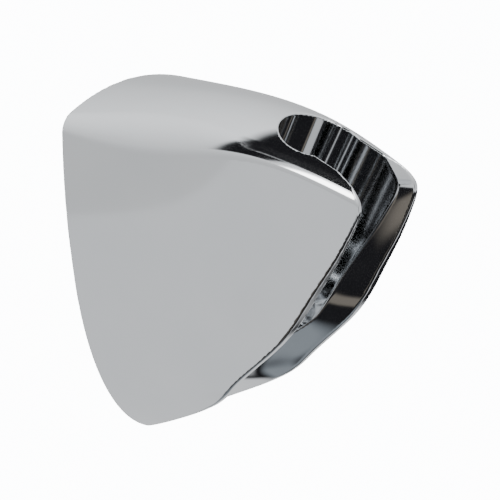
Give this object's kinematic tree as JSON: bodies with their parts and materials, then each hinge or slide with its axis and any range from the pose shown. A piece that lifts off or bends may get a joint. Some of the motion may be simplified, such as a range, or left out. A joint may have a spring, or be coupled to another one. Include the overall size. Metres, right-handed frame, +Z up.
{
  "type": "hair dryer holder",
  "caption": "Chrome wall holder, shield-shaped at the wall and narrowing to a leaning tapered socket that is slotted at the front above a long groove.",
  "frame": {"origin": "centre of the wall plate's back face, on the wall plane", "axes": "+Z up, -Y out of the wall towards the socket, X across; the object is symmetric about X = 0"},
  "size_m": [0.068, 0.0975, 0.1083],
  "materials": {
    "chrome_body": "polished chrome plating",
    "gasket": "matte",
    "plate_steel": "brushed",
    "brass": "turned",
    "screw_steel": "zinc plated"
  },
  "bodies": {
    "bracket": {"wall_plate": "plate_steel", "locating_post": "brass", "post_screw": "screw_steel"},
    "holder": {"holder_body": "chrome_body", "wall_gasket": "gasket", "threaded_insert": "brass"},
    "lock_screw": {"set_screw": "screw_steel"}
  },
  "joints": [
    {"name": "holder_slide", "type": "slide", "parent": "bracket", "child": "holder", "axis": [0, -1, 0], "range_m": [0, 0.03]},
    {"name": "screw_back_out", "type": "slide", "parent": "holder", "child": "lock_screw", "axis": [0, 0, -1], "range_m": [0, 0.01]}
  ]
}
